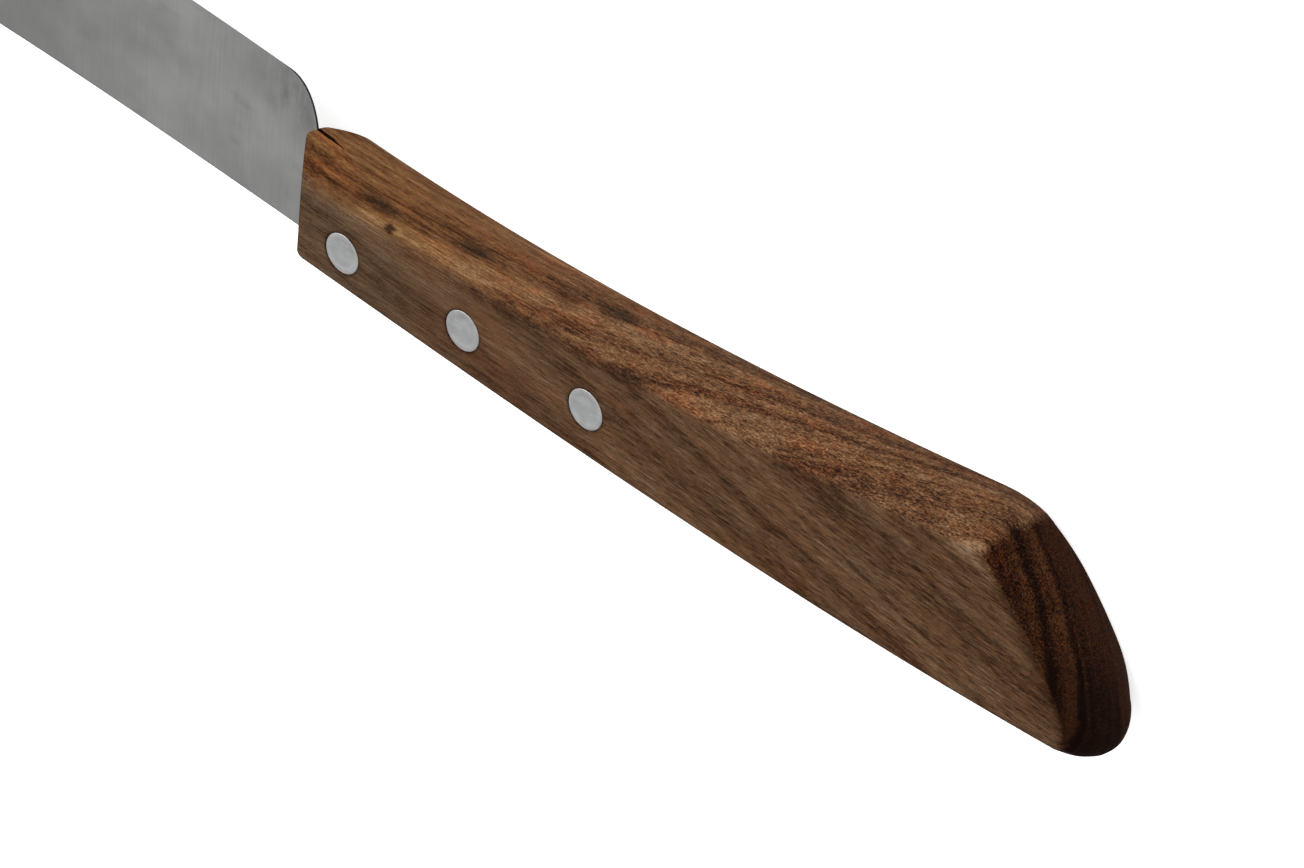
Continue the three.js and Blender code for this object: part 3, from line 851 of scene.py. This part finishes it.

# The blade's edge faces, which are painted near black by the heel as a painted dark reflection.
blade_normals = vectors(blade.data.polygon_normals, "vector")
store(blade.data, "rim", "FACE", np.abs(blade_normals[:, 2]) < RIM_FACING)

steel, steel_shader = new_material("satin_steel")
point, x, *_ = knife_axes(steel)
marks = drawn_noise(point, (3.0, 0.12, 0.5), detail=3.0, rough=0.6)
clouds = drawn_noise(point, (0.09, 0.13, 0.1), detail=3.0, rough=0.6)
steel_tone = (0.3 * marks + 0.7 * clouds).ramp(0.3, 0.7).mix(STEEL_SHADE, STEEL_TONE)
stains = drawn_noise(point, (0.16, 0.3, 0.3), detail=2.0).ramp(0.6, 0.8) * 0.5
blots = drawn_noise(point, (0.5, 0.22, 0.3), detail=3.0, rough=0.6).ramp(0.35, 0.7)
heel_stain = spot(point, HEEL_STAIN_AT, HEEL_STAIN_REACH) * (0.2 + 0.9 * blots)
steel_tone = stains.math("MAXIMUM", heel_stain).mix(steel_tone, STEEL_STAIN_AND_SHADE)
# Towards the tip the steel takes the same dark tone: painted shade.
steel_tone = (0.55 * x.ramp(*FRONT_SHADE)).mix(steel_tone, STEEL_STAIN_AND_SHADE)
# By the heel the edge faces are painted near black: a painted dark reflection.
steel_tone = (stored(point, "rim") * x.ramp(*RIM_FROM)).mix(steel_tone, RIM_DARK_REFLECTION)
steel_bump = bump(marks, strength=0.12, distance=0.02)
connect(steel_shader, Base_Color=steel_tone, Roughness=0.36 + 0.14 * clouds, Normal=steel_bump)
steel_shader.inputs["Metallic"].default_value = 1.0

blade.data.materials.clear()
blade.data.materials.append(steel)
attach(blade, "root")
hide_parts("blade")


# Rivets
# Three solid aluminium rivets through wood and tang, hammered up and ground flush with the sides.
# Each face is left with a shallow dish inside a narrow rim.

RIVET_RADIUS = 2.4
RIVET_END = 5.66
RIVET_EDGE = 0.1
DISH_RADIUS = 1.75
DISH_DEPTH = 0.03
DISH_SLOPE = 0.25
DISH_FADE = 0.2
RIVET_SIDES = 96
RIVET_EDGE_STEPS = 6
RIVET_FACE_STEPS = 22


def rivet_mesh(name, x):
    """A rivet: a profile of radius and height, half a shaft with a rounded edge, a rim and a dish, turned
    about its axis and mirrored."""
    turn = np.linspace(0, np.pi / 2, RIVET_EDGE_STEPS)
    edge_r = RIVET_RADIUS - RIVET_EDGE * (1 - np.cos(turn))
    edge_z = RIVET_END - RIVET_EDGE * (1 - np.sin(turn))
    face_r = np.linspace(RIVET_RADIUS - RIVET_EDGE, 0, RIVET_FACE_STEPS)[1:]
    face_z = RIVET_END - DISH_DEPTH * smoothstep(DISH_RADIUS + DISH_SLOPE, DISH_RADIUS - DISH_SLOPE, face_r)
    half_r = np.concatenate([[RIVET_RADIUS], edge_r, face_r])
    half_z = np.concatenate([[0], edge_z, face_z])
    radius = np.concatenate([half_r[::-1], half_r[1:]])
    height = np.concatenate([-half_z[::-1], half_z[1:]])
    angle = np.arange(RIVET_SIDES) * 2 * np.pi / RIVET_SIDES
    surface = placed(
        x + radius[:, None] * np.cos(angle), radius[:, None] * np.sin(angle), height[:, None]
    )
    return mesh_of(name, [(surface.reshape(-1, 3), grid_faces(len(radius), RIVET_SIDES, wrap=True))])


ALUMINIUM_TONE = (0.59, 0.59, 0.585)
ALUMINIUM_SHADE = (0.495, 0.495, 0.49)
DISH_TONE = (0.945, 0.955, 0.97)

aluminium, aluminium_shader = new_material("satin_aluminium")
point, *_ = knife_axes(aluminium)
scratches = drawn_noise(point, (0.5, 5.0, 1.0), detail=3.0, rough=0.6)
blotches = drawn_noise(point, (0.7, 0.7, 0.7), detail=2.0)
aluminium_tone = (0.5 * scratches + 0.5 * blotches).ramp(0.35, 0.65).mix(ALUMINIUM_SHADE, ALUMINIUM_TONE)
aluminium_tone = stored(point, "dish").mix(aluminium_tone, DISH_TONE, "MULTIPLY")
aluminium_bump = bump(scratches, strength=0.15, distance=0.02)
aluminium_rough = 0.45 + 0.15 * blotches
connect(aluminium_shader, Base_Color=aluminium_tone, Roughness=aluminium_rough, Normal=aluminium_bump)
aluminium_shader.inputs["Metallic"].default_value = 1.0

for number, rivet_x in enumerate(rivet_xs, start=1):
    rivet = piece_of(f"aluminium_rivet_{number}", rivet_mesh(f"aluminium_rivet_{number}", rivet_x))
    smooth(rivet.data)
    rivet.data.materials.append(aluminium)
    off_axis = (vectors(rivet.data.vertices, "co") - placed(rivet_x, 0, 0))[:, :2] / MM
    from_axis = np.linalg.norm(off_axis, axis=1)
    dish = smoothstep(DISH_RADIUS + DISH_FADE, DISH_RADIUS - DISH_FADE, from_axis)
    store(rivet.data, "dish", "POINT", dish)
    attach(rivet, "root")
    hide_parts(f"rivet_{number}")


# Floor
# A plain pale table top under the knife, wide enough to fill every view. It glows a little, as a
# light table does, so that shadows on it stay faint.

FLOOR_HALF = 3.0
FLOOR_TONE = (0.9, 0.9, 0.9, 1)
FLOOR_GLOW = 0.7

floor_mesh = bpy.data.meshes.new("pale_floor")
corners = [(-1, -1), (1, -1), (1, 1), (-1, 1)]
floor_mesh.from_pydata([(a * FLOOR_HALF, b * FLOOR_HALF, 0) for a, b in corners], [], [(0, 1, 2, 3)])
floor = piece_of("pale_floor", floor_mesh)
floor_material, floor_shader = new_material("pale_floor")
floor_shader.inputs["Base Color"].default_value = FLOOR_TONE
floor_shader.inputs["Roughness"].default_value = 0.9
floor_shader.inputs["Specular IOR Level"].default_value = 0.0
floor_shader.inputs["Emission Color"].default_value = (1, 1, 1, 1)
floor_shader.inputs["Emission Strength"].default_value = FLOOR_GLOW
floor_mesh.materials.append(floor_material)
floor.visible_glossy = False


# Light
# A white room that is brightest on the side of the blade and the belly, where its light falls off by a
# power of the cosine, and one soft round lamp on that side.

ROOM_LIGHT = 0.38
ROOM_BRIGHT_SIDE = 2.6
ROOM_FALLOFF = 3
BRIGHT_DIRECTION = np.array([-0.5, 0.62, 0.6])
LAMP_DISTANCE = 1.6
LAMP_SIZE = 1.5
LAMP_POWER = 8.0

world = bpy.data.worlds.new("white_room")
world.use_nodes = True
bright = BRIGHT_DIRECTION / np.linalg.norm(BRIGHT_DIRECTION)
sight = Field(world.node_tree).node("ShaderNodeTexCoord", output="Generated")
towards_bright = sight.vector("DOT_PRODUCT", bright, output="Value").math("MAXIMUM", 0.0)
room_light = ROOM_LIGHT + ROOM_BRIGHT_SIDE * towards_bright**ROOM_FALLOFF
world.node_tree.links.new(room_light.socket, world.node_tree.nodes["Background"].inputs["Strength"])
world.node_tree.nodes["Background"].inputs["Color"].default_value = (1, 1, 1, 1)
bpy.context.scene.world = world


def axes_matrix(right, up, back, place):
    """A turn and a place from three axes and a point."""
    matrix = np.eye(4)
    matrix[:3, :3] = np.stack([right, up, back], axis=-1)
    matrix[:3, 3] = place
    return Matrix(matrix.tolist())


level = np.cross([0, 0, 1], bright)
lamp_right = level / np.linalg.norm(level)
lamp_data = bpy.data.lights.new("soft_lamp", "AREA")
lamp_data.shape = "DISK"
lamp_data.size = LAMP_SIZE
lamp_data.energy = LAMP_POWER
lamp = bpy.data.objects.new("soft_lamp", lamp_data)
lamp.matrix_world = axes_matrix(lamp_right, np.cross(bright, lamp_right), bright, bright * LAMP_DISTANCE)
bpy.context.scene.collection.objects.link(lamp)
bpy.context.scene.view_settings.view_transform = "Standard"


# Camera
# It stands beyond the butt on the belly's side and looks along the handle, rolled so that the
# knife points up to the left.

CAMERA_RIGHT = np.array([0.7253, 0.0798, -0.6837])
CAMERA_UP = np.array([-0.4638, 0.7907, -0.3996])
CAMERA_BACK = np.array([0.5087, 0.6070, 0.6106])
CAMERA_OFFSET = (19.80, -10.75, 870.0)
IMAGE_WIDTH = 1304
FOCAL_PIXELS = 8350.4
SENSOR_WIDTH = 36.0

middle_rivet = placed(rivet_xs[1], 0, HALF_THICKNESS)
offset = sum(a * b for a, b in zip(CAMERA_OFFSET, (CAMERA_RIGHT, CAMERA_UP, CAMERA_BACK))) * MM
camera_data = bpy.data.cameras.new("camera")
camera_data.sensor_fit = "HORIZONTAL"
camera_data.sensor_width = SENSOR_WIDTH
camera_data.lens = SENSOR_WIDTH * FOCAL_PIXELS / IMAGE_WIDTH
camera = bpy.data.objects.new("camera", camera_data)
camera.matrix_world = axes_matrix(CAMERA_RIGHT, CAMERA_UP, CAMERA_BACK, middle_rivet + offset)
bpy.context.scene.collection.objects.link(camera)
bpy.context.scene.camera = camera
